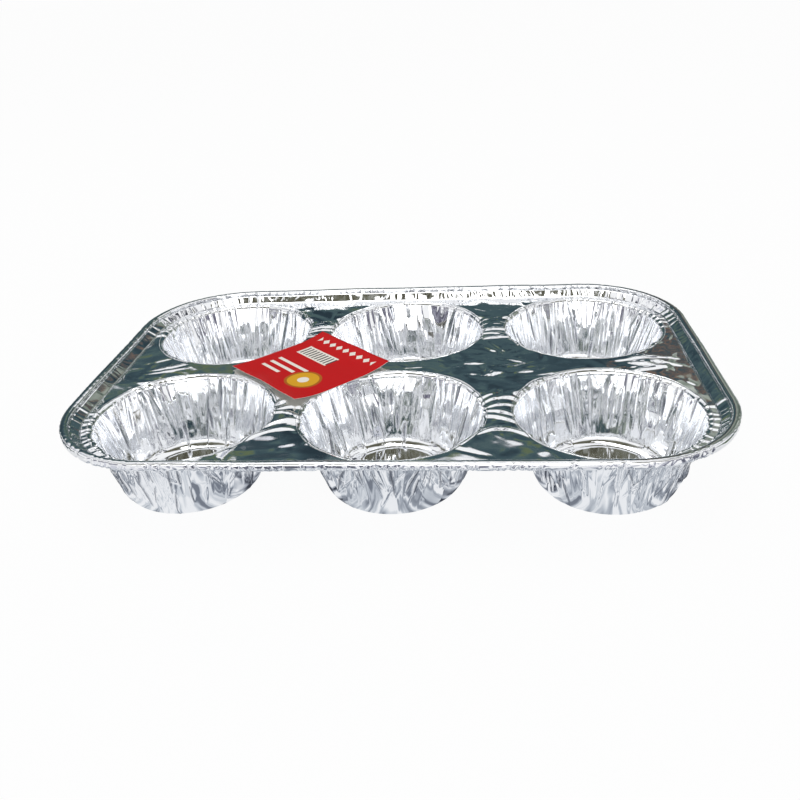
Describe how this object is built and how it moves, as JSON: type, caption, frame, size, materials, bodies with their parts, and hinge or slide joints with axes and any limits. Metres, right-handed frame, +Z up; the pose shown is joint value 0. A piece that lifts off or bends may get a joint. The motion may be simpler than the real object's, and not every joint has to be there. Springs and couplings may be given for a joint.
{
  "type": "muffin pan",
  "caption": "Disposable pressed-foil muffin pan: round tapered cups sunk in a flat deck, with a sloping shoulder, a rolled rim and a square paper label that peels off.",
  "frame": {"origin": "on the surface that the pan stands on, under the middle of the pan", "axes": "+X along the pan's length, to the right with the label on the left; +Y across the pan, from the front row of cups to the back row; +Z up"},
  "size_m": [0.262, 0.1774, 0.036],
  "materials": {
    "foil": "polished",
    "label_paper": "satin",
    "label_glue": "gloss"
  },
  "bodies": {
    "pan": {"deck": "foil", "shoulder": "foil", "rolled_rim": "foil", "cup_front_left": "foil", "cup_front_middle": "foil", "cup_front_right": "foil", "cup_back_left": "foil", "cup_back_middle": "foil", "cup_back_right": "foil"},
    "label": {"label": "label_paper", "label_glue": "label_glue"}
  },
  "joints": [
    {"name": "label_lift", "type": "slide", "parent": "pan", "child": "label", "axis": [0, 0, 1], "range_m": [0, 0.06]}
  ]
}
